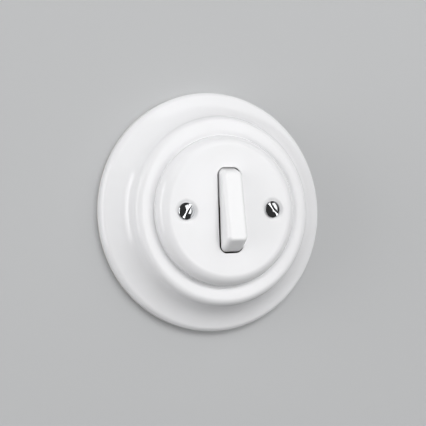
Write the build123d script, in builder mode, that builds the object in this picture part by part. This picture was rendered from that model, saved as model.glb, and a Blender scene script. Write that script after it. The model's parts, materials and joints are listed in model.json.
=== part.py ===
from build123d import *
import os
from math import cos, radians, sin, sqrt, tan

# Porcelain rocker light switch for flush mounting.
# The wall is the plane y = 0, the front faces -Y and the origin is the middle of the frame on the wall.
# Depths are millimetres out from the wall, so what sits behind the wall has a negative depth.

# Rocker
rocker_end_radius = 18.1
rocker_round_angle = 30.0
rocker_front_width = 8.8
rocker_foot_width = 9.8
rocker_face_height = 12.2
rocker_tilt = 7.5
rocker_corner_round = 2.2
rocker_edge_round = 1.6
rocker_wall = 1.9
rocker_lug_drop = 2.6
rocker_lug_length = 7.6
socket_radius = 4.0
socket_length = 10.5
socket_roof = 1.35
slot_side_gap = 0.35
slot_end_gap = 0.45
slot_corner_round = 3.2
slot_rim_round = 0.4

# Pivot pin and its clip
pin_radius = 1.25
pin_running_gap = 0.06
pin_seat_gap = 0.02
pin_head_radius = 2.1
pin_head_thickness = 0.9
pin_tail = 1.6
pin_edge = 0.25
clip_radius = 2.4
clip_thickness = 0.5
clip_mouth = 1.8
clip_groove_depth = 0.35
clip_side_gap = 0.05
clip_seat_gap = 0.05

# Cover disc
cover_height = 11.7
cover_face_thickness = 4.0
cover_wall = 5.8
cover_edge_round = 4.6
cover_inner_round = 1.6
cover_gap = 0.08
pivot_below_face = 7.0
dimple_slope = 1.2
dimple_depth = 0.4
dimple_round = 2.5
dimple_head_gap = 0.15

# Cover screws and the pillars that take them
screw_spacing = 38.6
screw_radius = 1.75
screw_length = 14.0
screw_head_radius = 3.45
screw_head_rim = 0.5
screw_head_dome = 1.5
screw_slot_width = 1.0
screw_slot_depth = 1.2
screw_slot_turns = (59.0, -53.0)
screw_hole_gap = 0.35
pillar_radius = 3.0
pillar_cavity_gap = 2.7
pillar_top_gap = 0.8
pillar_thread_gap = 0.05
pillar_thread_spare = 1.0
pillar_spigot_radius = 2.0
pillar_edge = 0.4

# Frame ring
ledge_depth = 8.0
ledge_thickness = 4.0
ledge_width = 3.1
recess_wall = 5.3
lip_round = 0.7
shoulder_width = 8.22
shoulder_round = 2.7
frame_plate_height = 5.0
frame_plate_flat = 1.0
frame_rim_round = 3.6
frame_wall = 4.0

# Support plate and pivot bracket
plate_radius = 36.5
plate_thickness = 1.2
box_screw_spacing = 60.0
box_slot_width = 4.2
box_slot_length = 7.0
bracket_thickness = 1.5
bracket_ear_gap = 0.45
bracket_ear_round = 2.4
bracket_ear_foot = 10.0
window_gap = 0.7
window_round = 1.0
rivet_radius = 1.2
rivet_head_radius = 2.0
rivet_head_height = 0.9
rivet_tail_height = 0.7
rivet_tail_radius = 1.8
rivet_margin = 2.6
seat_gap = 0.02

# Plunger and spring
plunger_radius = 2.3
plunger_length = 9.6
plunger_gap = 0.25
plunger_slide_gap = 0.15
plunger_back_edge = 0.3
spring_wire = 0.55
spring_wire_sides = 8
spring_turns = 4.0
spring_side_gap = 0.2

# Contact see-saw
seesaw_sink = 6.0
seesaw_overhang = 2.0
seesaw_width = 7.0
seesaw_thickness = 1.0
seesaw_rise = 0.85
seesaw_hub_radius = 1.3
seesaw_running_gap = 0.06
contact_arm = 11.5
moving_tip_radius = 1.5
moving_tip_rim = 0.5
moving_tip_dome = 0.55
fixed_tip_radius = 1.6
fixed_tip_height = 0.6
contact_gap = 0.08
strip_thickness = 1.0
strip_width = 5.0
strip_overhang = 2.5
saddle_length = 5.2

# Switch base and terminals
chamber_gap = 1.5
chamber_round = 1.0
channel_gap = 0.2
terminal_width = 7.5
terminal_reach = 8.0
terminal_length = 10.0
terminal_edge = 0.4
pocket_gap = 0.5
wire_bore_radius = 1.7
wire_bore_length = 8.0
wire_room = 2.6
clamp_radius = 1.5
clamp_head_radius = 2.4
clamp_head_height = 1.8
clamp_slot_width = 0.8
clamp_slot_depth = 0.9
clamp_room = 4.0
base_wall = 6.1
pillar_backing = 2.7
base_corner = 8.0
base_screw_radius = 1.5
base_screw_gap = 0.15
base_screw_head_radius = 2.7
base_screw_head_height = 2.0
base_screw_inset = 8.0
base_head_gap = 0.3
base_screw_sink = 2.4
base_edge_round = 1.2

# Depths of the front, from the frame's ledge outwards
face_depth = ledge_depth + cover_height
ceiling_depth = face_depth - cover_face_thickness
pivot_depth = face_depth - pivot_below_face
dimple_floor = face_depth - dimple_depth

# Radii of the front, from the screws outwards
screw_x = screw_spacing / 2
dimple_seat_radius = screw_head_radius + dimple_head_gap
dimple_radius = dimple_seat_radius + dimple_slope
cavity_radius = screw_x + pillar_radius + pillar_cavity_gap
cover_radius = cavity_radius + cover_wall
recess_radius = cover_radius + cover_gap
bore_radius = cover_radius - ledge_width
shoulder_radius = recess_radius + shoulder_width
lip_depth = ledge_depth + recess_wall
shoulder_depth = lip_depth + lip_round
cove_radius = shoulder_depth - shoulder_round - frame_plate_height
frame_radius = shoulder_radius + cove_radius + frame_plate_flat + frame_rim_round

# The rocker's ends are round about the pivot as far as they dip into the slot, and straight from there out
tilt_sin = sin(radians(rocker_tilt))
tilt_cos = cos(radians(rocker_tilt))
end_slope = radians(rocker_round_angle)
end_bend = (rocker_end_radius * cos(end_slope), rocker_end_radius * sin(end_slope))
rocker_length = 2 * (end_bend[0] - (rocker_face_height - end_bend[1]) * tan(end_slope))
slot_end_radius = rocker_end_radius + slot_end_gap
slot_width = rocker_foot_width + 2 * slot_side_gap

# Bracket, from the rocker outwards
ear_inner_x = rocker_foot_width / 2 + bracket_ear_gap
ear_outer_x = ear_inner_x + bracket_thickness
bracket_depth = plate_thickness + bracket_thickness
clip_groove_radius = pin_radius - clip_groove_depth
clip_groove_width = clip_thickness + 2 * clip_side_gap
window_length = 2 * (socket_radius + socket_length * tilt_sin + window_gap)
window_width = 2 * (socket_radius + window_gap)
plate_window_length = 2 * (plunger_radius + pivot_depth * tilt_sin + window_gap)
plate_window_width = 2 * (plunger_radius + window_gap)
rivet_z = window_length / 2 + rivet_margin
bracket_length = 2 * (rivet_z + rivet_margin)

# See-saw, plunger and contacts: the lower contact is closed while the rocker's top is pressed in
seesaw_top = seesaw_rise + seesaw_thickness
seesaw_length = 2 * (contact_arm + seesaw_overhang)
plunger_tip = pivot_depth + seesaw_sink - seesaw_top - plunger_gap
plunger_back = plunger_tip - plunger_length
spring_top = pin_radius + socket_roof
moving_tip_height = moving_tip_rim + moving_tip_dome
dome_radius = (moving_tip_radius**2 + moving_tip_dome**2) / (2 * moving_tip_dome)
dome_centre = seesaw_rise - moving_tip_height + dome_radius
fixed_tip_z = contact_arm * tilt_cos + dome_centre * tilt_sin
fixed_tip_top = -seesaw_sink + dome_centre * tilt_cos - contact_arm * tilt_sin - dome_radius - contact_gap
strip_top = fixed_tip_top - fixed_tip_height
floor_depth = strip_top - strip_thickness

# Base: wide enough to back the pillars, with the terminals at its sides and the contact chamber in the middle
base_width = 2 * (screw_x + pillar_backing)
terminal_outer_x = base_width / 2 - clamp_room
terminal_x = terminal_outer_x - terminal_reach / 2
terminal_inner_x = terminal_outer_x - terminal_reach
chamber_length = seesaw_length + 2 * chamber_gap
chamber_width = seesaw_width + 2 * chamber_gap
terminal_back = floor_depth - terminal_length
pocket_width = terminal_width + 2 * pocket_gap
base_height = 2 * (fixed_tip_z + pocket_width / 2 + base_wall)
base_back = terminal_back - wire_room
base_screw_z = base_height / 2 - base_screw_inset
base_screw_places = [(terminal_x, 0), (-terminal_x, base_screw_z), (-terminal_x, -base_screw_z)]
clamp_depth = terminal_back + wire_bore_length / 2
terminal_places = {"common": (-1, 0), "upper": (1, fixed_tip_z), "lower": (1, -fixed_tip_z)}

# Working planes: front views grow out of the wall, side views run along X, turned parts spin about Y
front = Plane.XZ
side = Plane(origin=(0, 0, 0), x_dir=(0, 0, 1), z_dir=(1, 0, 0))
turning = Plane(origin=(0, 0, 0), x_dir=(1, 0, 0), z_dir=(0, 0, -1))
sunk = (Align.CENTER, Align.CENTER, Align.MAX)

# The rocker's own planes, turned with its top pressed in
rocker_pivot = (0, -pivot_depth, 0)
rocker_out = (0, -tilt_cos, tilt_sin)
rocker_up = (0, tilt_sin, tilt_cos)
rocker_down = (0, -tilt_sin, -tilt_cos)
rocker_axis = Axis(rocker_pivot, rocker_out)
rocker_side = Plane(origin=rocker_pivot, x_dir=rocker_up, z_dir=(1, 0, 0))
rocker_front = Plane(origin=rocker_pivot, x_dir=(1, 0, 0), z_dir=rocker_out)
rocker_section = Plane(origin=rocker_pivot, x_dir=(1, 0, 0), z_dir=rocker_down)

# The see-saw's own planes, turned the other way
seesaw_pivot = (0, seesaw_sink, 0)
seesaw_up = (0, -tilt_sin, tilt_cos)
seesaw_out = (0, -tilt_cos, -tilt_sin)
seesaw_side = Plane(origin=seesaw_pivot, x_dir=seesaw_up, z_dir=(1, 0, 0))

os.makedirs("parts", exist_ok=True)


def finish(piece, label):
    """Name a finished piece and write it to its own file."""
    piece.part.label = label
    export_step(piece.part, f"parts/{label}.step")


# Frame ring: rounded rim, flat plate, cove and rolled shoulder, with a recess for the cover and a hollow back
rim_x = frame_radius - frame_rim_round
shoulder_x = shoulder_radius - shoulder_round
lip_x = recess_radius + lip_round
cove_x = shoulder_radius + cove_radius
cove_d = frame_plate_height + cove_radius
hollow_radius = cove_radius + frame_wall
hollow_depth = ledge_depth - ledge_thickness
hollow_x = cove_x - sqrt(hollow_radius**2 - (cove_d - hollow_depth) ** 2)
with BuildPart() as frame_ring:
    with BuildSketch(turning):
        with BuildLine():
            Line((cove_x, 0), (frame_radius, 0))
            Line((frame_radius, 0), (frame_radius, frame_plate_height - frame_rim_round))
            CenterArc((rim_x, frame_plate_height - frame_rim_round), frame_rim_round, 0, 90)
            Line((rim_x, frame_plate_height), (cove_x, frame_plate_height))
            CenterArc((cove_x, cove_d), cove_radius, 270, -90)
            CenterArc((shoulder_x, cove_d), shoulder_round, 0, 90)
            Line((shoulder_x, shoulder_depth), (lip_x, shoulder_depth))
            CenterArc((lip_x, lip_depth), lip_round, 90, 90)
            Line((recess_radius, lip_depth), (recess_radius, ledge_depth))
            Line((recess_radius, ledge_depth), (bore_radius, ledge_depth))
            Line((bore_radius, ledge_depth), (bore_radius, hollow_depth))
            Line((bore_radius, hollow_depth), (hollow_x, hollow_depth))
            RadiusArc((hollow_x, hollow_depth), (cove_x, cove_d - hollow_radius), -hollow_radius)
            Line((cove_x, cove_d - hollow_radius), (cove_x, 0))
        make_face()
    revolve(axis=Axis.Y)
finish(frame_ring, "frame_ring")

# Space for the rocker: round about the pivot at both ends, with rounded corners
with BuildPart() as rocker_space:
    with BuildSketch(side.offset(-slot_width / 2)):
        with Locations((0, pivot_depth)):
            Circle(slot_end_radius)
    extrude(amount=slot_width)
    split(bisect_by=front.offset(pivot_depth), keep=Keep.TOP)
    fillet(rocker_space.edges().filter_by(GeomType.CIRCLE), slot_corner_round)

# Cover disc: a shallow porcelain dish with a rolled edge, cut for the rocker and the two screws
cover_roll = (cover_radius - cover_edge_round, face_depth - cover_edge_round)
cavity_roll = (cavity_radius - cover_inner_round, ceiling_depth - cover_inner_round)
with BuildPart() as cover_disc:
    with BuildSketch(turning):
        with BuildLine():
            Line((cavity_radius, ledge_depth), (cover_radius, ledge_depth))
            Line((cover_radius, ledge_depth), (cover_radius, face_depth - cover_edge_round))
            CenterArc(cover_roll, cover_edge_round, 0, 90)
            Line((cover_radius - cover_edge_round, face_depth), (0, face_depth))
            Line((0, face_depth), (0, ceiling_depth))
            Line((0, ceiling_depth), (cavity_radius - cover_inner_round, ceiling_depth))
            CenterArc(cavity_roll, cover_inner_round, 90, -90)
            Line((cavity_radius, ceiling_depth - cover_inner_round), (cavity_radius, ledge_depth))
        make_face()
    revolve(axis=Axis.Y)
    add(rocker_space.part, mode=Mode.SUBTRACT)
    fillet(cover_disc.faces().sort_by(Axis.Y)[0].inner_wires()[0].edges(), slot_rim_round)
    with Locations(front.offset(face_depth)):
        with GridLocations(screw_spacing, 0, 2, 1):
            Hole(screw_radius + screw_hole_gap, depth=cover_face_thickness)
            Cone(dimple_seat_radius, dimple_radius, dimple_depth, align=sunk, mode=Mode.SUBTRACT)
    dimple_rims = cover_disc.faces().sort_by(Axis.Y)[0].inner_wires().sort_by(SortBy.LENGTH)[:2]
    fillet(dimple_rims.edges(), dimple_round)
finish(cover_disc, "cover_disc")

# Cover screws: slotted, with a low domed head that sits in the cover's dimple
screw_rim = dimple_floor + screw_head_rim
screw_top = screw_rim + screw_head_dome
screw_end = dimple_floor - screw_length
with BuildPart() as cover_screws:
    for screw_side, turn in ((-screw_x, screw_slot_turns[0]), (screw_x, screw_slot_turns[1])):
        with BuildSketch(turning.shift_origin((screw_side, 0, 0))):
            with BuildLine():
                Line((0, screw_end), (screw_radius, screw_end))
                Line((screw_radius, screw_end), (screw_radius, dimple_floor))
                Line((screw_radius, dimple_floor), (screw_head_radius, dimple_floor))
                Line((screw_head_radius, dimple_floor), (screw_head_radius, screw_rim))
                TangentArc((0, screw_top), (screw_head_radius, screw_rim), tangent=(1, 0))
                Line((0, screw_top), (0, screw_end))
            make_face()
        revolve(axis=Axis((screw_side, 0, 0), (0, 1, 0)))
        with BuildSketch(front.offset(screw_top - screw_slot_depth)):
            with Locations((screw_side, 0)):
                Rectangle(2 * screw_head_radius, screw_slot_width, rotation=turn)
        extrude(amount=screw_slot_depth, mode=Mode.SUBTRACT)
finish(cover_screws, "cover_screws")

# Rocker: drafted sides, round ends about the pivot, hollowed from below, with lug and spring socket
hollow_length = rocker_length / 2 - rocker_wall - socket_radius - rocker_wall
hollow_middle = socket_radius + rocker_wall + hollow_length / 2
with BuildPart() as rocker:
    with BuildSketch(rocker_side.offset(-rocker_foot_width / 2)):
        with BuildLine():
            CenterArc((0, 0), rocker_end_radius, 0, rocker_round_angle)
            Polyline(
                end_bend,
                (rocker_length / 2, rocker_face_height),
                (-rocker_length / 2, rocker_face_height),
                (-end_bend[0], end_bend[1]),
            )
            CenterArc((0, 0), rocker_end_radius, 180 - rocker_round_angle, rocker_round_angle)
            Line((-rocker_end_radius, 0), (rocker_end_radius, 0))
        make_face()
    extrude(amount=rocker_foot_width)
    with BuildSketch(rocker_section.offset(-rocker_end_radius)):
        with BuildLine():
            Polyline(
                (-rocker_foot_width / 2, 0),
                (rocker_foot_width / 2, 0),
                (rocker_front_width / 2, rocker_face_height),
                (-rocker_front_width / 2, rocker_face_height),
                close=True,
            )
        make_face()
    extrude(amount=2 * rocker_end_radius, mode=Mode.INTERSECT)
    round_ends = rocker.faces().filter_by(GeomType.CYLINDER)
    fillet(round_ends.edges().filter_by(Axis.X, reverse=True), rocker_corner_round)
    fillet(rocker.faces().sort_by(rocker_axis)[-1].edges(), rocker_edge_round)
    with BuildSketch(rocker_front):
        with Locations((0, hollow_middle), (0, -hollow_middle)):
            Rectangle(rocker_front_width - 2 * rocker_wall, hollow_length)
    extrude(amount=rocker_face_height - rocker_wall, mode=Mode.SUBTRACT)
    with BuildSketch(rocker_front):
        Rectangle(rocker_foot_width, rocker_lug_length)
    extrude(amount=-rocker_lug_drop)
    with BuildSketch(rocker_front):
        Circle(socket_radius)
    extrude(amount=-socket_length)
    with BuildSketch(rocker_front.offset(-socket_length)):
        Circle(plunger_radius + plunger_slide_gap)
    extrude(amount=socket_length - spring_top, mode=Mode.SUBTRACT)
    with BuildSketch(rocker_side.offset(-rocker_foot_width / 2)):
        Circle(pin_radius + pin_running_gap)
    extrude(amount=rocker_foot_width, mode=Mode.SUBTRACT)
finish(rocker, "rocker")

# Pivot pin: headed at one end, grooved for a clip at the other
with BuildPart() as pivot_pin:
    with BuildSketch(side.offset(-ear_outer_x - pin_tail)):
        with Locations((0, pivot_depth)):
            Circle(pin_radius)
    extrude(amount=2 * ear_outer_x + pin_tail)
    chamfer(pivot_pin.edges().sort_by(Axis.X)[0], pin_edge)
    with BuildSketch(side.offset(ear_outer_x)):
        with Locations((0, pivot_depth)):
            Circle(pin_head_radius)
    extrude(amount=pin_head_thickness)
    with BuildSketch(side.offset(-ear_outer_x - clip_seat_gap - clip_groove_width)):
        with Locations((0, pivot_depth)):
            Circle(pin_radius)
            Circle(clip_groove_radius, mode=Mode.SUBTRACT)
    extrude(amount=clip_groove_width, mode=Mode.SUBTRACT)
finish(pivot_pin, "pivot_pin")

# Pin clip: an open spring washer pushed into the pin's groove
with BuildPart() as pin_clip:
    with BuildSketch(side.offset(-ear_outer_x - clip_seat_gap - clip_side_gap - clip_thickness)):
        with Locations((0, pivot_depth)):
            Circle(clip_radius)
            Circle(clip_groove_radius + clip_side_gap, mode=Mode.SUBTRACT)
            Rectangle(clip_radius, clip_mouth, align=(Align.MIN, Align.CENTER), mode=Mode.SUBTRACT)
    extrude(amount=clip_thickness)
finish(pin_clip, "pin_clip")

# Plunger: a round-ended pin that slides in the rocker's socket
with BuildPart() as plunger:
    with BuildSketch(rocker_side):
        with BuildLine():
            Line((0, -plunger_back), (plunger_radius, -plunger_back))
            Line((plunger_radius, -plunger_back), (plunger_radius, plunger_radius - plunger_tip))
            CenterArc((0, plunger_radius - plunger_tip), plunger_radius, 0, -90)
            Line((0, -plunger_tip), (0, -plunger_back))
        make_face()
    revolve(axis=rocker_axis)
    chamfer(plunger.faces().sort_by(rocker_axis)[-1].edges(), plunger_back_edge)
finish(plunger, "plunger")

# Rocker spring: a coil between the socket's roof and the plunger, its round wire drawn with flats
coil_height = plunger_back - spring_top - spring_wire
coil_pitch = coil_height / spring_turns
coil_radius = plunger_radius + plunger_slide_gap - spring_side_gap - spring_wire / 2
coil_foot = rocker_front.offset(spring_wire / 2 - plunger_back)
with BuildPart() as rocker_spring:
    with BuildLine() as coil:
        Helix(coil_pitch, coil_height, coil_radius, center=coil_foot.origin, direction=rocker_out)
    with BuildSketch(Plane(origin=coil.line @ 0, z_dir=coil.line % 0)):
        RegularPolygon(spring_wire / 2, spring_wire_sides)
    sweep(path=coil.line, is_frenet=True)
finish(rocker_spring, "rocker_spring")

# Support plate: lies on the wall and carries the base, the bracket and the pillars
with BuildPart() as support_plate:
    with BuildSketch(front):
        Circle(plate_radius)
        RectangleRounded(plate_window_width, plate_window_length, window_round, mode=Mode.SUBTRACT)
        with GridLocations(box_screw_spacing, 0, 2, 1):
            SlotOverall(box_slot_length, box_slot_width, mode=Mode.SUBTRACT)
        with GridLocations(screw_spacing, 0, 2, 1):
            Circle(pillar_spigot_radius + seat_gap, mode=Mode.SUBTRACT)
        with GridLocations(0, 2 * rivet_z, 1, 2):
            Circle(rivet_radius + seat_gap, mode=Mode.SUBTRACT)
        with Locations(base_screw_places):
            Circle(base_screw_radius + seat_gap, mode=Mode.SUBTRACT)
    extrude(amount=plate_thickness)
finish(support_plate, "support_plate")

# Pivot bracket: a U of pressed steel, with a window for the socket and two ears for the pin
with BuildPart() as pivot_bracket:
    with BuildSketch(front.offset(plate_thickness)):
        Rectangle(2 * ear_outer_x, bracket_length)
        RectangleRounded(window_width, window_length, window_round, mode=Mode.SUBTRACT)
        with GridLocations(0, 2 * rivet_z, 1, 2):
            Circle(rivet_radius + seat_gap, mode=Mode.SUBTRACT)
    extrude(amount=bracket_thickness)
    for ear_x in (-ear_outer_x, ear_inner_x):
        with BuildSketch(side.offset(ear_x)):
            with Locations((0, pivot_depth)):
                Circle(bracket_ear_round)
            with Locations((0, plate_thickness)):
                Rectangle(bracket_ear_foot, bracket_thickness, align=(Align.CENTER, Align.MIN))
            make_hull()
        extrude(amount=bracket_thickness)
        with BuildSketch(side.offset(ear_x)):
            with Locations((0, pivot_depth)):
                Circle(pin_radius + pin_seat_gap)
        extrude(amount=bracket_thickness, mode=Mode.SUBTRACT)
finish(pivot_bracket, "pivot_bracket")

# Bracket rivets: domed in front, upset flat behind the plate
rivet_top = bracket_depth + rivet_head_height
with BuildPart() as bracket_rivets:
    for rivet_side in (-rivet_z, rivet_z):
        with BuildSketch(side.shift_origin((0, 0, rivet_side))):
            with BuildLine():
                Line((0, -rivet_tail_height), (rivet_tail_radius, -rivet_tail_height))
                Line((rivet_tail_radius, -rivet_tail_height), (rivet_tail_radius, 0))
                Line((rivet_tail_radius, 0), (rivet_radius, 0))
                Line((rivet_radius, 0), (rivet_radius, bracket_depth))
                Line((rivet_radius, bracket_depth), (rivet_head_radius, bracket_depth))
                TangentArc((0, rivet_top), (rivet_head_radius, bracket_depth), tangent=(1, 0))
                Line((0, rivet_top), (0, -rivet_tail_height))
            make_face()
        revolve(axis=Axis((0, 0, rivet_side), (0, 1, 0)))
finish(bracket_rivets, "bracket_rivets")

# Cover pillars: turned posts with a spigot in the plate and a tapped hole for the cover screw
pillar_top = ceiling_depth - pillar_top_gap
pillar_hole_end = screw_end - pillar_thread_spare
with BuildPart() as cover_pillars:
    with BuildSketch(front.offset(plate_thickness)):
        with GridLocations(screw_spacing, 0, 2, 1):
            Circle(pillar_radius)
    extrude(amount=pillar_top - plate_thickness)
    chamfer(cover_pillars.faces().group_by(Axis.Y)[0].edges(), pillar_edge)
    with BuildSketch(front):
        with GridLocations(screw_spacing, 0, 2, 1):
            Circle(pillar_spigot_radius)
    extrude(amount=plate_thickness)
    with BuildSketch(front.offset(pillar_hole_end)):
        with GridLocations(screw_spacing, 0, 2, 1):
            Circle(screw_radius + pillar_thread_gap)
    extrude(amount=pillar_top - pillar_hole_end, mode=Mode.SUBTRACT)
finish(cover_pillars, "cover_pillars")

# Contact see-saw: a brass strip with a round hub that rocks in the saddle
with BuildPart() as contact_seesaw:
    with BuildSketch(seesaw_side.offset(-seesaw_width / 2)):
        Circle(seesaw_hub_radius)
        Rectangle(2 * seesaw_hub_radius, seesaw_rise, align=(Align.CENTER, Align.MIN))
        with Locations((0, seesaw_rise)):
            Rectangle(seesaw_length, seesaw_thickness, align=(Align.CENTER, Align.MIN))
    extrude(amount=seesaw_width)
finish(contact_seesaw, "contact_seesaw")

# Moving contact tips: domed discs under the ends of the see-saw
tip_bottom = seesaw_rise - moving_tip_height
with BuildPart() as moving_contact_tips:
    for arm in (-contact_arm, contact_arm):
        tip_foot = (0, seesaw_sink - arm * tilt_sin, arm * tilt_cos)
        with BuildSketch(seesaw_side.shift_origin(tip_foot)):
            with BuildLine():
                Line((0, seesaw_rise), (moving_tip_radius, seesaw_rise))
                Line((moving_tip_radius, seesaw_rise), (moving_tip_radius, seesaw_rise - moving_tip_rim))
                TangentArc((0, tip_bottom), (moving_tip_radius, seesaw_rise - moving_tip_rim), tangent=(1, 0))
                Line((0, tip_bottom), (0, seesaw_rise))
            make_face()
        revolve(axis=Axis(tip_foot, seesaw_out))
finish(moving_contact_tips, "moving_contact_tips")

# Common contact: a bar from its terminal to the saddle that carries the see-saw
bar_length = terminal_outer_x + seesaw_width / 2
with BuildPart() as common_contact:
    with BuildSketch(front.offset(floor_depth)):
        with Locations((-terminal_outer_x, 0)):
            Rectangle(bar_length, strip_width, align=(Align.MIN, Align.CENTER))
    extrude(amount=strip_thickness)
    with BuildSketch(side.offset(-seesaw_width / 2)):
        with Locations((0, floor_depth)):
            Rectangle(saddle_length, -seesaw_sink - floor_depth, align=(Align.CENTER, Align.MIN))
        with Locations((0, -seesaw_sink)):
            Circle(seesaw_hub_radius + seesaw_running_gap, mode=Mode.SUBTRACT)
    extrude(amount=seesaw_width)
finish(common_contact, "common_contact")

# Upper and lower contact strips: from under a fixed tip to the terminal
for strip_name in ("upper", "lower"):
    strip_z = terminal_places[strip_name][1]
    with BuildPart() as contact_strip:
        with BuildSketch(front.offset(floor_depth)):
            with Locations((-strip_overhang, strip_z)):
                Rectangle(terminal_outer_x + strip_overhang, strip_width, align=(Align.MIN, Align.CENTER))
        extrude(amount=strip_thickness)
    finish(contact_strip, f"{strip_name}_contact_strip")

# Fixed contact tips: flat discs on the two strips
with BuildPart() as fixed_contact_tips:
    with BuildSketch(front.offset(strip_top)):
        with GridLocations(0, 2 * fixed_tip_z, 1, 2):
            Circle(fixed_tip_radius)
    extrude(amount=fixed_tip_height)
finish(fixed_contact_tips, "fixed_contact_tips")

# Terminals: brass blocks under the strips, with a wire bore from the back and a clamp screw from the side
for terminal_name, (terminal_side, terminal_z) in terminal_places.items():
    with BuildPart() as terminal:
        with BuildSketch(front.offset(terminal_back)):
            with Locations((terminal_side * terminal_x, terminal_z)):
                Rectangle(terminal_reach, terminal_width)
        extrude(amount=terminal_length)
        chamfer(terminal.faces().sort_by(Axis.Y)[-1].edges(), terminal_edge)
        with BuildSketch(front.offset(terminal_back)):
            with Locations((terminal_side * terminal_x, terminal_z)):
                Circle(wire_bore_radius)
        extrude(amount=wire_bore_length, mode=Mode.SUBTRACT)
        with BuildSketch(side.offset(terminal_side * terminal_x)):
            with Locations((terminal_z, clamp_depth)):
                Circle(clamp_radius + seat_gap)
        extrude(amount=terminal_side * terminal_reach / 2, mode=Mode.SUBTRACT)
    finish(terminal, f"{terminal_name}_terminal")

# Terminal screws: slotted clamp screws, one in the side of each terminal
clamp_length = terminal_reach / 2 - wire_bore_radius
with BuildPart() as terminal_screws:
    for terminal_side, terminal_z in terminal_places.values():
        clamp_place = (terminal_z, clamp_depth)
        with BuildSketch(side.offset(terminal_side * (terminal_x + wire_bore_radius))):
            with Locations(clamp_place):
                Circle(clamp_radius)
        extrude(amount=terminal_side * clamp_length)
        with BuildSketch(side.offset(terminal_side * terminal_outer_x)):
            with Locations(clamp_place):
                Circle(clamp_head_radius)
        extrude(amount=terminal_side * clamp_head_height)
        with BuildSketch(side.offset(terminal_side * (terminal_outer_x + clamp_head_height))):
            with Locations(clamp_place):
                Rectangle(2 * clamp_head_radius, clamp_slot_width)
        extrude(amount=-terminal_side * clamp_slot_depth, mode=Mode.SUBTRACT)
finish(terminal_screws, "terminal_screws")

# Switch base: a fired block with the contact chamber in front and terminal pockets open behind
pocket_inner_x = terminal_inner_x - pocket_gap
channel_length = terminal_outer_x + pocket_gap
with BuildPart() as switch_base:
    with BuildSketch(front.offset(base_back)):
        RectangleRounded(base_width, base_height, base_corner)
    extrude(amount=-base_back)
    fillet(switch_base.faces().sort_by(Axis.Y)[-1].edges(), base_edge_round)
    with BuildSketch(front):
        RectangleRounded(chamber_width, chamber_length, chamber_round)
        for terminal_side, terminal_z in terminal_places.values():
            with Locations((terminal_side * channel_length / 2, terminal_z)):
                Rectangle(channel_length, strip_width + 2 * channel_gap)
    extrude(amount=floor_depth, mode=Mode.SUBTRACT)
    with BuildSketch(front.offset(base_back)):
        for terminal_side, terminal_z in terminal_places.values():
            with Locations((terminal_side * (pocket_inner_x + base_width / 2), terminal_z)):
                Rectangle(base_width, pocket_width)
    extrude(amount=floor_depth - base_back, mode=Mode.SUBTRACT)
    with BuildSketch(front.offset(base_back)):
        with Locations(base_screw_places):
            Circle(base_screw_head_radius + base_head_gap)
    extrude(amount=base_screw_sink, mode=Mode.SUBTRACT)
    with BuildSketch(front.offset(base_back)):
        with Locations(base_screw_places):
            Circle(base_screw_radius + base_screw_gap)
    extrude(amount=-base_back, mode=Mode.SUBTRACT)
finish(switch_base, "switch_base")

# Base screws: slotted cheese heads sunk in the back, threaded into the plate
head_seat = base_back + base_screw_sink
with BuildPart() as base_screws:
    with BuildSketch(front.offset(head_seat)):
        with Locations(base_screw_places):
            Circle(base_screw_radius)
    extrude(amount=plate_thickness - head_seat)
    with BuildSketch(front.offset(head_seat - base_screw_head_height)):
        with Locations(base_screw_places):
            Circle(base_screw_head_radius)
    extrude(amount=base_screw_head_height)
    with BuildSketch(front.offset(head_seat - base_screw_head_height)):
        with Locations(base_screw_places):
            Rectangle(2 * base_screw_head_radius, clamp_slot_width)
    extrude(amount=clamp_slot_depth, mode=Mode.SUBTRACT)
finish(base_screws, "base_screws")
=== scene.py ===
import json
import math

import bmesh
import bpy
import numpy as np
from mathutils import Matrix, Vector


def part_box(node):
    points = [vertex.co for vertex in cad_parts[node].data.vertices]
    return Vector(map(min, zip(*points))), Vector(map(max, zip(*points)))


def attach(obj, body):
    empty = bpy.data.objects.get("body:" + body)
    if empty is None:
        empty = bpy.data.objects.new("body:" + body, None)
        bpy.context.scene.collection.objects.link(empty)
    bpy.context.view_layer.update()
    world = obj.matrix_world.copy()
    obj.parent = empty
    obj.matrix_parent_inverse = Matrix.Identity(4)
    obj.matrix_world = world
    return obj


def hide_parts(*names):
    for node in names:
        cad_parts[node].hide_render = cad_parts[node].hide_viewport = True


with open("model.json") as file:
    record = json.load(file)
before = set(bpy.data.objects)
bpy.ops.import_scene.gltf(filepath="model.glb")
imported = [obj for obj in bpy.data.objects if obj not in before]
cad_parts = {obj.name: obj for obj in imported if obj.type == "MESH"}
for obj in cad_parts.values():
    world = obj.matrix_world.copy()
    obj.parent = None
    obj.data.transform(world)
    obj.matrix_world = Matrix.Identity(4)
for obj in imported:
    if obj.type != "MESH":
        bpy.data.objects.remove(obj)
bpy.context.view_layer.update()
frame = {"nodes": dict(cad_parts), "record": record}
MM = 0.001

# Places taken from the frame: the cover, the frame ring, the rocker's slot and throw, and the two screws
SLOT_MARGIN = 1 * MM
cover_low, cover_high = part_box("cover_disc")
face_depth = -cover_low[1]
cover_wall = cover_high[0]
ring_low, ring_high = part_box("frame_ring")
ring_top = -ring_low[1]
ring_rim = ring_high[0]
rocker_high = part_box("rocker")[1]
slot_reach = (rocker_high[0] + SLOT_MARGIN, rocker_high[2] + SLOT_MARGIN)
screws_low, screws_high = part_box("cover_screws")
head_radius = (screws_high[2] - screws_low[2]) / 2
screw_x = screws_high[0] - head_radius
screw_tip = -screws_high[1]
joints = frame["record"]["behaviour"]["joints"]
rocker_tilt = next(joint for joint in joints if joint["name"] == "rocker_tilt")
rocker_pivot = rocker_tilt["pos_m"]
rocker_throw = math.radians(rocker_tilt["range_deg"][1])

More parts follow.
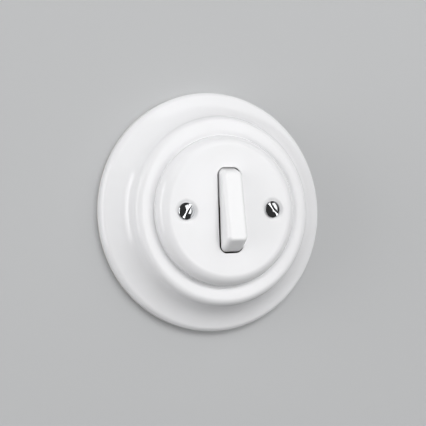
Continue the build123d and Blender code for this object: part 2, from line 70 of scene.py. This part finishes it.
# Where bare foot turns to glaze over the wall, and where dust and painted shade start and are full under the
# cover's face
FOOT_BARE = 0.3 * MM
FOOT_GLAZED = 0.5 * MM
SLOT_DUST_AND_SHADE_START = 0.4 * MM
SLOT_DUST_AND_SHADE_FULL = 0.8 * MM
ROCKER_DUST_AND_SHADE_START = 0.02 * MM
ROCKER_DUST_AND_SHADE_FULL = 0.2 * MM
# Near-black colour of dust and painted shade deep in the slot, on the cover's slot walls and the rocker's
# sides
DUST_AND_SHADE = "#48453F"


def linear(hex_colour):
    """An sRGB hex colour as linear red, green, blue and alpha."""
    channels = [int(hex_colour[i:i + 2], 16) / 255 for i in (1, 3, 5)]
    return [c / 12.92 if c <= 0.04045 else ((c + 0.055) / 1.055) ** 2.4 for c in channels] + [1.0]


def add(tree, kind, inputs, **settings):
    """Add one node: set its properties, then fill each named or numbered input with a value or a link."""
    node = tree.nodes.new(kind)
    for name, value in settings.items():
        setattr(node, name, value)
    for socket, source in inputs.items():
        if isinstance(source, bpy.types.NodeSocket):
            tree.links.new(source, node.inputs[socket])
        else:
            node.inputs[socket].default_value = source
    return node


def start_material(name, **values):
    """A new material with its tree, its shader set to plain values, and the piece's own coordinates."""
    material = bpy.data.materials.new(name)
    material.use_nodes = True
    tree = material.node_tree
    shader = tree.nodes["Principled BSDF"]
    for socket, value in values.items():
        shader.inputs[socket.replace("_", " ")].default_value = value
    return material, tree, shader, add(tree, "ShaderNodeTexCoord", {}).outputs["Object"]


def glazed_porcelain():
    """Hard-paste porcelain dipped in clear glaze and fired on its bare foot."""
    # The eye gets a cool white with even gloss, faint waves in the reflections, a dry rim at the wall and
    # bare walls in the rocker's slot darkened with dust and painted shade
    material, tree, shader, place = start_material("glazed_porcelain", IOR=1.52)
    pooling = add(tree, "ShaderNodeTexNoise", {"Vector": place, "Scale": 1 / (11 * MM), "Detail": 2.0})
    tint = add(tree, "ShaderNodeValToRGB", {"Fac": pooling.outputs["Fac"]})
    tint.color_ramp.elements[0].color = linear("#E5E5E6")
    tint.color_ramp.elements[1].color = linear("#EAEAEC")
    reach = add(tree, "ShaderNodeVectorMath", {0: place}, operation="ABSOLUTE").outputs["Vector"]
    reach = add(tree, "ShaderNodeSeparateXYZ", {"Vector": reach}).outputs
    foot = add(
        tree,
        "ShaderNodeMapRange",
        {"Value": reach["Y"], "From Min": FOOT_GLAZED, "From Max": FOOT_BARE},
    ).outputs["Result"]
    beside = add(tree, "ShaderNodeMath", {0: reach["X"], 1: slot_reach[0]}, operation="LESS_THAN").outputs[0]
    along = add(tree, "ShaderNodeMath", {0: reach["Z"], 1: slot_reach[1]}, operation="LESS_THAN").outputs[0]
    sunk = add(
        tree,
        "ShaderNodeMapRange",
        {"Value": reach["Y"], "From Min": face_depth - SLOT_DUST_AND_SHADE_START, "From Max": face_depth - SLOT_DUST_AND_SHADE_FULL},
    ).outputs["Result"]
    slot_dust_and_shade = add(tree, "ShaderNodeMath", {0: beside, 1: along}, operation="MULTIPLY").outputs[0]
    slot_dust_and_shade = add(tree, "ShaderNodeMath", {0: slot_dust_and_shade, 1: sunk}, operation="MULTIPLY").outputs[0]
    colour = add(
        tree,
        "ShaderNodeMix",
        {0: foot, 6: tint.outputs["Color"], 7: linear("#D6D3CD")},
        data_type="RGBA",
    ).outputs[2]
    # Dust and painted shade: the slot's walls turn dark from 0.4 to 0.8 mm under the cover's face
    colour = add(
        tree, "ShaderNodeMix", {0: slot_dust_and_shade, 6: colour, 7: linear(DUST_AND_SHADE)}, data_type="RGBA"
    ).outputs[2]
    bare = add(tree, "ShaderNodeMath", {0: foot, 1: slot_dust_and_shade}, operation="MAXIMUM").outputs[0]
    bloom = add(tree, "ShaderNodeTexNoise", {"Vector": place, "Scale": 1 / (3.5 * MM), "Detail": 3.0})
    gloss = add(
        tree, "ShaderNodeMapRange", {"Value": bloom.outputs["Fac"], "To Min": 0.08, "To Max": 0.14}
    )
    dry = add(
        tree, "ShaderNodeMix", {0: bare, 2: gloss.outputs["Result"], 3: 0.75}, data_type="FLOAT"
    )
    waves = add(tree, "ShaderNodeTexNoise", {"Vector": place, "Scale": 1 / (7 * MM), "Detail": 1.0})
    bump = add(
        tree, "ShaderNodeBump", {"Strength": 0.4, "Distance": 0.02 * MM, "Height": waves.outputs["Fac"]}
    )
    tree.links.new(colour, shader.inputs["Base Color"])
    tree.links.new(dry.outputs[0], shader.inputs["Roughness"])
    tree.links.new(bump.outputs["Normal"], shader.inputs["Normal"])
    return material


def moulded_urea_resin():
    """White urea resin pressed in a polished mould."""
    # The eye gets a clean white like the glaze, with a softer gloss, a very fine skin, drawn coarser than it
    # is so that it shows, and dust with painted shade on the walls' part that stays in the slot either way it
    # lies
    material, tree, shader, place = start_material("moulded_urea_resin", IOR=1.55)
    flow = add(tree, "ShaderNodeTexNoise", {"Vector": place, "Scale": 1 / (6 * MM), "Detail": 2.0})
    tint = add(tree, "ShaderNodeValToRGB", {"Fac": flow.outputs["Fac"]})
    tint.color_ramp.elements[0].color = linear("#EAEAEB")
    tint.color_ramp.elements[1].color = linear("#EEEEEF")
    thrown = add(
        tree,
        "ShaderNodeVectorRotate",
        {"Vector": place, "Center": rocker_pivot, "Axis": (1, 0, 0), "Angle": rocker_throw},
    ).outputs["Vector"]
    before = add(tree, "ShaderNodeSeparateXYZ", {"Vector": place}).outputs["Y"]
    after = add(tree, "ShaderNodeSeparateXYZ", {"Vector": thrown}).outputs["Y"]
    sunk = add(tree, "ShaderNodeMath", {0: before, 1: after}, operation="MINIMUM").outputs[0]
    # Dust and painted shade: the sides darken where they sit under the cover's face in both throws
    rocker_dust_and_shade = add(
        tree,
        "ShaderNodeMapRange",
        {"Value": sunk, "From Min": ROCKER_DUST_AND_SHADE_START - face_depth, "From Max": ROCKER_DUST_AND_SHADE_FULL - face_depth},
    ).outputs["Result"]
    colour = add(
        tree, "ShaderNodeMix", {0: rocker_dust_and_shade, 6: tint.outputs["Color"], 7: linear(DUST_AND_SHADE)}, data_type="RGBA"
    ).outputs[2]
    fine_skin = add(tree, "ShaderNodeTexNoise", {"Vector": place, "Scale": 1 / (0.5 * MM), "Detail": 2.0})
    gloss = add(
        tree, "ShaderNodeMapRange", {"Value": fine_skin.outputs["Fac"], "To Min": 0.2, "To Max": 0.3}
    )
    bump = add(
        tree,
        "ShaderNodeBump",
        {"Strength": 0.3, "Distance": 0.004 * MM, "Height": fine_skin.outputs["Fac"]},
    )
    tree.links.new(colour, shader.inputs["Base Color"])
    tree.links.new(gloss.outputs["Result"], shader.inputs["Roughness"])
    tree.links.new(bump.outputs["Normal"], shader.inputs["Normal"])
    return material


def chromed_turned_steel():
    """Steel turned on a lathe, polished and chromed."""
    # The eye gets a clear bluish mirror with faint turning rings round each screw, drawn coarser than a lathe
    # leaves them so that they show
    material, tree, shader, place = start_material("chromed_turned_steel", Metallic=1.0)
    mirrored = add(tree, "ShaderNodeVectorMath", {0: place}, operation="ABSOLUTE").outputs["Vector"]
    centred = add(
        tree, "ShaderNodeVectorMath", {0: mirrored, 1: (screw_x, 0, 0)}, operation="SUBTRACT"
    ).outputs["Vector"]
    flat = add(
        tree, "ShaderNodeVectorMath", {0: centred, 1: (1, 0, 1)}, operation="MULTIPLY"
    ).outputs["Vector"]
    radius = add(tree, "ShaderNodeVectorMath", {0: flat}, operation="LENGTH").outputs["Value"]
    rings = add(
        tree,
        "ShaderNodeTexNoise",
        {"W": radius, "Scale": 1 / (0.25 * MM), "Detail": 2.0},
        noise_dimensions="1D",
    ).outputs["Fac"]
    gloss = add(tree, "ShaderNodeMapRange", {"Value": rings, "To Min": 0.04, "To Max": 0.11})
    haze = add(tree, "ShaderNodeTexNoise", {"Vector": place, "Scale": 1 / (2 * MM), "Detail": 2.0})
    tint = add(tree, "ShaderNodeValToRGB", {"Fac": haze.outputs["Fac"]})
    tint.color_ramp.elements[0].color = linear("#D6D8DB")
    tint.color_ramp.elements[1].color = linear("#E2E3E4")
    tree.links.new(tint.outputs["Color"], shader.inputs["Base Color"])
    tree.links.new(gloss.outputs["Result"], shader.inputs["Roughness"])
    return material


def fired_steatite():
    """Steatite powder pressed in a die and fired without glaze."""
    # The eye gets a matt cream body with a slow drift of tone, sparse brown specks and a fine grit
    material, tree, shader, place = start_material("fired_steatite", IOR=1.58)
    drift = add(tree, "ShaderNodeTexNoise", {"Vector": place, "Scale": 1 / (9 * MM), "Detail": 3.0})
    body = add(tree, "ShaderNodeValToRGB", {"Fac": drift.outputs["Fac"]})
    body.color_ramp.elements[0].color = linear("#CFC6B2")
    body.color_ramp.elements[1].color = linear("#E3DCCD")
    grains = add(tree, "ShaderNodeTexVoronoi", {"Vector": place, "Scale": 1 / (1.6 * MM)})
    speck = add(
        tree,
        "ShaderNodeMapRange",
        {"Value": grains.outputs["Distance"], "From Min": 0.16, "From Max": 0.06, "To Max": 0.6},
    )
    colour = add(
        tree,
        "ShaderNodeMix",
        {0: speck.outputs["Result"], 6: body.outputs["Color"], 7: linear("#8A7A63")},
        data_type="RGBA",
    )
    grit = add(tree, "ShaderNodeTexNoise", {"Vector": place, "Scale": 1 / (0.35 * MM), "Detail": 3.0})
    gloss = add(tree, "ShaderNodeMapRange", {"Value": grit.outputs["Fac"], "To Min": 0.55, "To Max": 0.8})
    bump = add(
        tree, "ShaderNodeBump", {"Strength": 0.5, "Distance": 0.03 * MM, "Height": grit.outputs["Fac"]}
    )
    tree.links.new(colour.outputs[2], shader.inputs["Base Color"])
    tree.links.new(gloss.outputs["Result"], shader.inputs["Roughness"])
    tree.links.new(bump.outputs["Normal"], shader.inputs["Normal"])
    return material


def worked_metal(name, dull, bright, patch, grain, gloss):
    """A bare metal whose tone drifts over patches and whose gloss follows its working lines.

    The patch and the grain along each axis are in millimetres, and the gloss is a range of roughness.
    """
    material, tree, shader, place = start_material(name, Metallic=1.0)
    drift = add(tree, "ShaderNodeTexNoise", {"Vector": place, "Scale": 1 / (patch * MM), "Detail": 4.0})
    tone = add(tree, "ShaderNodeValToRGB", {"Fac": drift.outputs["Fac"]})
    tone.color_ramp.elements[0].position = 0.35
    tone.color_ramp.elements[0].color = linear(dull)
    tone.color_ramp.elements[1].position = 0.65
    tone.color_ramp.elements[1].color = linear(bright)
    stretch = add(tree, "ShaderNodeMapping", {"Vector": place, "Scale": [1 / (size * MM) for size in grain]})
    lines = add(
        tree, "ShaderNodeTexNoise", {"Vector": stretch.outputs["Vector"], "Scale": 1.0, "Detail": 3.0}
    ).outputs["Fac"]
    worn = add(
        tree,
        "ShaderNodeMapRange",
        {"Value": lines, "From Min": 0.3, "From Max": 0.7, "To Min": gloss[0], "To Max": gloss[1]},
    )
    bump = add(tree, "ShaderNodeBump", {"Strength": 0.25, "Distance": 0.01 * MM, "Height": lines})
    tree.links.new(tone.outputs["Color"], shader.inputs["Base Color"])
    tree.links.new(worn.outputs["Result"], shader.inputs["Roughness"])
    tree.links.new(bump.outputs["Normal"], shader.inputs["Normal"])
    return material


looks = {
    "white_porcelain": glazed_porcelain(),
    "chromed_screws": chromed_turned_steel(),
    "white_rocker": moulded_urea_resin(),
    "steatite": fired_steatite(),
    # Zinc plate: a milky blue-grey with cloudy patches and the steel sheet's rolling lines underneath
    "zinc_plated_steel": worked_metal(
        "zinc_plated_sheet", "#9EA5AC", "#C9CBC6", patch=5, grain=(9, 0.35, 0.35), gloss=(0.28, 0.46)
    ),
    # Drawn spring steel: a dark clean grey with fine lines along the wire
    "bright_steel": worked_metal(
        "drawn_spring_steel", "#84868A", "#A9ABAE", patch=3, grain=(4, 0.2, 0.2), gloss=(0.16, 0.32)
    ),
    # Rolled brass: warm yellow, browned in patches by handling, with rolling lines
    "brass": worked_metal(
        "rolled_brass", "#A9823F", "#D3B06A", patch=4, grain=(7, 0.3, 0.3), gloss=(0.2, 0.4)
    ),
    # Contact silver: a soft white with grey tarnish where it has arced
    "contact_silver": worked_metal(
        "coined_silver", "#A7A49C", "#E6E4DF", patch=0.8, grain=(0.4, 0.4, 0.4), gloss=(0.22, 0.42)
    ),
}
for subpart in frame["record"]["subparts"]:
    solid = frame["nodes"][subpart["node"]]
    solid.data.materials.clear()
    solid.data.materials.append(looks[subpart["material_slot"]])

# New pieces: points closer than this are one, and edges that turn by more than this stay sharp
MERGE_DISTANCE = 0.001 * MM
SHARP_TURN = math.radians(35)


def skin(grid, first=0):
    """Quads between the neighbouring points of a grid, which are numbered row by row from the first."""
    numbers = first + np.arange(grid[..., 0].size).reshape(grid.shape[:2])
    corners = [numbers[:-1, :-1], numbers[:-1, 1:], numbers[1:, 1:], numbers[1:, :-1]]
    return np.stack(corners, -1).reshape(-1, 4)


def carried_round(section, steps):
    """A grid of points: a section's radii and depths turned once round the switch's axis, in equal steps."""
    radius, depth = np.transpose(section)
    around = np.linspace(0, 2 * np.pi, steps + 1)[:, None]
    return np.stack([radius * np.cos(around), -depth + 0 * around, radius * np.sin(around)], -1)


def new_piece(name, points, quads, body, slot):
    """A closed piece from points and quads, with its seams and poles merged and its faces turned outwards."""
    mesh = bpy.data.meshes.new(name)
    mesh.from_pydata(points.tolist(), [], quads.tolist())
    work = bmesh.new()
    work.from_mesh(mesh)
    bmesh.ops.remove_doubles(work, verts=work.verts, dist=MERGE_DISTANCE)
    bmesh.ops.recalc_face_normals(work, faces=work.faces)
    work.to_mesh(mesh)
    work.free()
    mesh.shade_smooth()
    mesh.set_sharp_from_angle(angle=SHARP_TURN)
    mesh.materials.append(looks[slot])
    piece = bpy.data.objects.new(name, mesh)
    bpy.context.scene.collection.objects.link(piece)
    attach(piece, body)
    return piece


# Cover screws: the solids' heads with eased slot edges, and a thread cut on each shank
SCREW_LENGTH = 14 * MM
SLOT_WIDTH = 1.0 * MM
SLOT_DEPTH = 1.2 * MM
SLOT_EDGE = 0.1 * MM
SLOT_LEAN = 0.03 * MM
SLOT_TURNS = {-1: math.radians(59), 1: math.radians(-53)}
HEAD_RIM = 0.5 * MM
HEAD_DOME = 1.5 * MM
HEAD_STEPS = 41
THREAD_CREST = 1.75 * MM
THREAD_ROOT = 1.4 * MM
THREAD_PITCH = 0.6 * MM
THREAD_START = 3 * MM
POINT_LENGTH = 0.6 * MM
RINGS_A_TURN = 8


def slotted_head():
    """The head's top as places along and across its slot and heights over its seat.

    Each row lies at one distance across the slot and runs along it from rim to rim. The height is a sphere's
    cap, cut down to a flat floor between the slot's flanks, with a small slope at the flanks' upper edges.
    """
    flanks = np.array([SLOT_WIDTH / 2 - SLOT_LEAN, SLOT_WIDTH / 2, SLOT_WIDTH / 2 + SLOT_EDGE])
    spread = np.sin(np.linspace(-np.pi / 2, np.pi / 2, HEAD_STEPS))
    rows = np.unique(np.concatenate([head_radius * spread, flanks, -flanks]))
    across, share = np.meshgrid(rows, spread, indexing="ij")
    along = share * np.sqrt(np.maximum(head_radius**2 - across**2, 0))
    ball = (head_radius**2 + HEAD_DOME**2) / (2 * HEAD_DOME)
    cap = HEAD_RIM + HEAD_DOME - ball + np.sqrt(ball**2 - along**2 - across**2)
    floor = HEAD_RIM + HEAD_DOME - SLOT_DEPTH
    cut = np.interp(np.abs(across), flanks, [HEAD_DOME, SLOT_EDGE / 2, 0])
    return np.stack([along, across, np.minimum(cap, np.maximum(floor, cap - cut))], -1)


def threaded_shank(rim):
    """Rings from the head's rim down its side, in under it and along the shank to a closed tip.

    The thread's radius is a triangle wave of the turns wound so far, which are the depth over the pitch less
    the share of a turn at that point of the ring. It fades in below the head and narrows to the root at the
    tip.
    """
    seat = rim * (1, 1, 0)
    depth = np.arange(0, SCREW_LENGTH, THREAD_PITCH / RINGS_A_TURN)
    depth = np.append(depth, SCREW_LENGTH)[:, None]
    turns = depth / THREAD_PITCH - np.arctan2(rim[:, 1], rim[:, 0]) / (2 * np.pi)
    groove = np.abs(2 * np.mod(turns, 1) - 1) * np.clip((depth - THREAD_START) / THREAD_PITCH, 0, 1)
    taper = np.clip((SCREW_LENGTH - depth) / POINT_LENGTH, 0, 1)
    radius = THREAD_ROOT + (THREAD_CREST - THREAD_ROOT) * np.minimum(1 - groove, taper)
    scale = radius / np.hypot(rim[:, 0], rim[:, 1])
    shank = np.stack([rim[:, 0] * scale, rim[:, 1] * scale, -depth + 0 * scale], -1)
    tip = np.broadcast_to((0, 0, -SCREW_LENGTH), rim.shape)
    return np.concatenate([rim[None], seat[None], shank, tip[None]])


head = slotted_head()
head_rim = np.concatenate([head[:-1, -1], head[:0:-1, 0], head[:1, -1]])
shank_rings = threaded_shank(head_rim)
screw_points, screw_quads, point_count = [], [], 0
for side, slot_turn in SLOT_TURNS.items():
    for grid in (head, shank_rings):
        along, across, height = np.moveaxis(grid, -1, 0)
        x = side * screw_x + along * math.cos(slot_turn) - across * math.sin(slot_turn)
        z = along * math.sin(slot_turn) + across * math.cos(slot_turn)
        screw_points.append(np.stack([x, -(screw_tip + SCREW_LENGTH + height), z], -1).reshape(-1, 3))
        screw_quads.append(skin(grid, point_count))
        point_count += x.size
screws = new_piece(
    "slotted_cover_screws",
    np.concatenate(screw_points),
    np.concatenate(screw_quads),
    "insert",
    "chromed_screws",
)
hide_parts("cover_screws")

# Frame ring: the solid's foot, hollow back and recess, with a domed ring, a closed joint and a softer ogee
COVER_GAP = 0.08 * MM
JOINT_SINK = 0.05 * MM
JOINT_ROUND = 0.55 * MM
JOINT_TURN = math.radians(21)
JOINT_BITE = 0.03 * MM
JOINT_REACH = 1.2 * MM
CREST_PLACE = 4.9 * MM
CREST_RISE = 0.67 * MM
CREST_POWER = 2.5
CREST_PULL = 2.3 * MM
WAIST_PLACE = 8.25 * MM
WAIST_DEPTH = 11.9 * MM
WAIST_TURN = math.radians(76)
WAIST_PULL = 1.7 * MM
COVE_PULL = 3.2 * MM
PLATE_HEIGHT = 5.0 * MM
PLATE_PULL = 5.0 * MM
PLATE_TURN = math.radians(15)
RIM_ROUND = 2.6 * MM
HOLLOW_EDGE = 4.6 * MM
HOLLOW_ROUND = 10.3 * MM
HOLLOW_CENTRE = 11.3 * MM
LEDGE_WIDTH = 3.1 * MM
LEDGE_DEPTH = 8.0 * MM
LEDGE_THICKNESS = 4.0 * MM
CURVE_STEPS = 24
FRAME_STEPS = 256
QUARTER_TURN = math.pi / 2


def arc(centre, radius, start, end):
    """Points on a circle: its centre plus its radius times the cosine and sine of evenly spaced angles."""
    angle = np.linspace(start, end, CURVE_STEPS)[:, None]
    return centre + radius * np.hstack([np.cos(angle), np.sin(angle)])


def bend(start, start_pull, end_pull, end):
    """A cubic curve between two points, led by the pulls at its ends, without its first point."""
    share = np.linspace(0, 1, CURVE_STEPS + 1)[1:, None]
    rest = 1 - share
    pulled = 3 * rest**2 * share * (start + start_pull) + 3 * rest * share**2 * (end + end_pull)
    return rest**3 * start + pulled + share**3 * end


def frame_section():
    """The frame's closed cross-section as radii and depths.

    From the cover's wall its face is the joint's hollow arc, a power curve that climbs ever less steeply to
    the crest, a cubic curve from the level crest to the steep waist, another from the waist to the sloping
    plate, and the rim's arc. Its back is the solid's: the foot, the hollow's arc, the ledge and the recess.
    """
    floor = ring_top - JOINT_SINK
    bite = cover_wall - JOINT_BITE
    joint_centre = (bite + JOINT_ROUND, floor + JOINT_ROUND)
    joint = arc(joint_centre, JOINT_ROUND, -2 * QUARTER_TURN, JOINT_TURN - QUARTER_TURN)
    crest = np.array([cover_wall + CREST_PLACE, floor + CREST_RISE])
    share = np.linspace(0, 1, CURVE_STEPS)[1:, None]
    climb = joint[-1] + (crest - joint[-1]) * np.hstack([share, 1 - (1 - share) ** CREST_POWER])
    waist = np.array([cover_wall + WAIST_PLACE, WAIST_DEPTH])
    level = np.array([1.0, 0.0])
    steep = np.array([math.cos(WAIST_TURN), -math.sin(WAIST_TURN)])
    ramp = np.array([math.cos(PLATE_TURN), -math.sin(PLATE_TURN)])
    rim_centre = (ring_rim - RIM_ROUND, PLATE_HEIGHT - RIM_ROUND)
    rim = arc(rim_centre, RIM_ROUND, QUARTER_TURN - PLATE_TURN, 0)
    hollow_edge = ring_rim - HOLLOW_EDGE
    roof = LEDGE_DEPTH - LEDGE_THICKNESS
    hollow_turn = math.acos((HOLLOW_CENTRE - roof) / HOLLOW_ROUND)
    hollow = arc((hollow_edge, HOLLOW_CENTRE), HOLLOW_ROUND, -QUARTER_TURN, -QUARTER_TURN - hollow_turn)
    recess, bore = cover_wall + COVER_GAP, cover_wall - LEDGE_WIDTH
    joint_back = ring_top - JOINT_REACH
    return np.concatenate([
        joint,
        climb,
        bend(crest, CREST_PULL * level, -WAIST_PULL * steep, waist),
        bend(waist, COVE_PULL * steep, -PLATE_PULL * ramp, rim[0]),
        rim,
        [(ring_rim, 0), (hollow_edge, 0)],
        hollow,
        [(bore, roof), (bore, LEDGE_DEPTH), (recess, LEDGE_DEPTH), (recess, joint_back)],
        [(bite, joint_back), joint[0]],
    ])


ring = carried_round(frame_section(), FRAME_STEPS)
ring_piece = new_piece("turned_frame_ring", ring.reshape(-1, 3), skin(ring), "insert", "white_porcelain")
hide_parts("frame_ring")

# Camera: the photograph's place, from the frame's outline, the groove and the two screws
VIEW_DISTANCE = 450 * MM
VIEW_AZIMUTH = math.radians(-24.4)
VIEW_ELEVATION = math.radians(-1.43)
VIEW_ROLL = math.radians(-1.86)
VIEW_NEAR = 10 * MM
SENSOR = 36.0
PHOTO_SIDE = 426
FOCAL_PIXELS = 1068
ORIGIN_PIXELS = (-2.46, -1.08)
back = Vector((
    math.sin(VIEW_AZIMUTH) * math.cos(VIEW_ELEVATION),
    -math.cos(VIEW_AZIMUTH) * math.cos(VIEW_ELEVATION),
    math.sin(VIEW_ELEVATION),
))
camera = bpy.data.objects.new("camera", bpy.data.cameras.new("camera"))
bpy.context.scene.collection.objects.link(camera)
camera.data.sensor_width = SENSOR
camera.data.lens = FOCAL_PIXELS / PHOTO_SIDE * SENSOR
camera.data.shift_x = -ORIGIN_PIXELS[0] / PHOTO_SIDE
camera.data.shift_y = ORIGIN_PIXELS[1] / PHOTO_SIDE
aim = (-back).to_track_quat("-Z", "Y").to_matrix().to_4x4() @ Matrix.Rotation(VIEW_ROLL, 4, "Z")
camera.matrix_world = Matrix.Translation(back * VIEW_DISTANCE) @ aim
camera.data.clip_start = VIEW_NEAR
bpy.context.scene.camera = camera
bpy.context.scene.view_settings.view_transform = "Standard"

# Lamps: windows that the glaze and the screws mirror, fills that they don't, and one box for the back
LAMP_DISTANCE = 1.5


def softbox(name, across, up, width, height, brightness, in_gloss=True, behind=False):
    """A flat lamp aimed at the switch.

    Its place is in degrees right of and above the wall's normal, and its size is in metres.
    """
    across, up = math.radians(across), math.radians(up)
    out = 1 if behind else -1
    way = Vector((math.sin(across) * math.cos(up), out * math.cos(across) * math.cos(up), math.sin(up)))
    light = bpy.data.lights.new(name, "AREA")
    light.shape = "RECTANGLE"
    light.size = width
    light.size_y = height
    light.energy = brightness * math.pi * width * height
    lamp = bpy.data.objects.new(name, light)
    bpy.context.scene.collection.objects.link(lamp)
    lamp.location = way * LAMP_DISTANCE
    lamp.rotation_mode = "QUATERNION"
    lamp.rotation_quaternion = (-way).to_track_quat("-Z", "Y")
    lamp.visible_glossy = in_gloss
    lamp.visible_camera = False


softbox("right_window", 33, 17, 1.56, 2.52, 1.3)
softbox("right_near", 24, 10, 0.55, 1.2, 1.4)
softbox("left_window", -81, 7, 0.3, 1.5, 4.0)
softbox("left_inner", -70, 7, 0.3, 1.5, 2.3)
softbox("far_left_fill", -75, 3, 0.6, 0.9, 1.8, in_gloss=False)
softbox("left_fill", -50, -2, 0.6, 0.9, 1.6, in_gloss=False)
softbox("left_low_fill", -25, -12, 0.6, 0.5, 0.8, in_gloss=False)
softbox("top_fill", 3, 32, 1.6, 0.5, 3.15, in_gloss=False)
softbox("right_fill", 50, 10, 0.6, 0.5, 0.9, in_gloss=False)
softbox("back_box", 30, 30, 1.2, 1.2, 1.0, behind=True)

# World: an even pale surround, seen behind the switch and around its back
WORLD_STRENGTH = 0.8
world = bpy.data.worlds.new("studio")
bpy.context.scene.world = world
world.use_nodes = True
surround = world.node_tree.nodes["Background"]
surround.inputs["Color"].default_value = linear("#E4E5E6")
surround.inputs["Strength"].default_value = WORLD_STRENGTH


def stage_piece(name, grid, material):
    """A piece of the studio, which isn't part of the switch, from a grid of points."""
    mesh = bpy.data.meshes.new(name)
    mesh.from_pydata(grid.reshape(-1, 3).tolist(), [], skin(grid).tolist())
    mesh.materials.append(material)
    piece = bpy.data.objects.new(name, mesh)
    bpy.context.scene.collection.objects.link(piece)
    return piece


def matt_paint(name, colour):
    """Matt pale paint, clear from behind so that the insert shows in views of the back."""
    material, tree, shader, _ = start_material(name, Roughness=0.9, Base_Color=linear(colour))
    facing = add(tree, "ShaderNodeNewGeometry", {}).outputs["Backfacing"]
    clear = add(tree, "ShaderNodeBsdfTransparent", {}).outputs["BSDF"]
    mixed = add(tree, "ShaderNodeMixShader", {0: facing, 1: shader.outputs["BSDF"], 2: clear})
    tree.links.new(mixed.outputs["Shader"], tree.nodes["Material Output"].inputs["Surface"])
    return material


def dim_cloth():
    """Dark matt cloth with a dim glow of its own."""
    material, _, _, _ = start_material(
        "dim_cloth",
        Roughness=1.0,
        Specular_IOR_Level=0.0,
        Base_Color=linear("#1A1A1A"),
        Emission_Color=linear("#FFFFFF"),
        Emission_Strength=TENT_GLOW,
    )
    return material


# Wall: a disc round the switch, open behind it so that the back of the switch has light
WALL_RADIUS = 3.2
WALL_HOLE = 49.9 * MM
WALL_DEPTH = -0.05 * MM
WALL_STEPS = 192
wall = carried_round([(WALL_HOLE, WALL_DEPTH), (WALL_RADIUS, WALL_DEPTH)], WALL_STEPS)
stage_piece("wall", wall, matt_paint("wall_paint", "#BDBEBF"))

# Floor: a pale square far below the switch
FLOOR_REACH = 6.0
FLOOR_LEVEL = -3.1
floor_x, floor_y = np.meshgrid([-FLOOR_REACH, FLOOR_REACH], [-FLOOR_REACH, FLOOR_REACH])
floor = np.stack([floor_x, floor_y, 0 * floor_x + FLOOR_LEVEL], -1)
stage_piece("floor", floor, matt_paint("floor_paint", "#ECEDEE"))

# Tent: a half dome of dim cloth in front of the wall, so that polished metal shows a dim room between lamps
TENT_RADIUS = 3.0
TENT_STEPS = 24
TENT_GLOW = 0.04
over = np.linspace(QUARTER_TURN, 0, TENT_STEPS)
half_round = TENT_RADIUS * np.stack([np.sin(over), np.cos(over)], -1)
tent = stage_piece("tent", carried_round(half_round, 2 * TENT_STEPS), dim_cloth())
tent.visible_camera = False
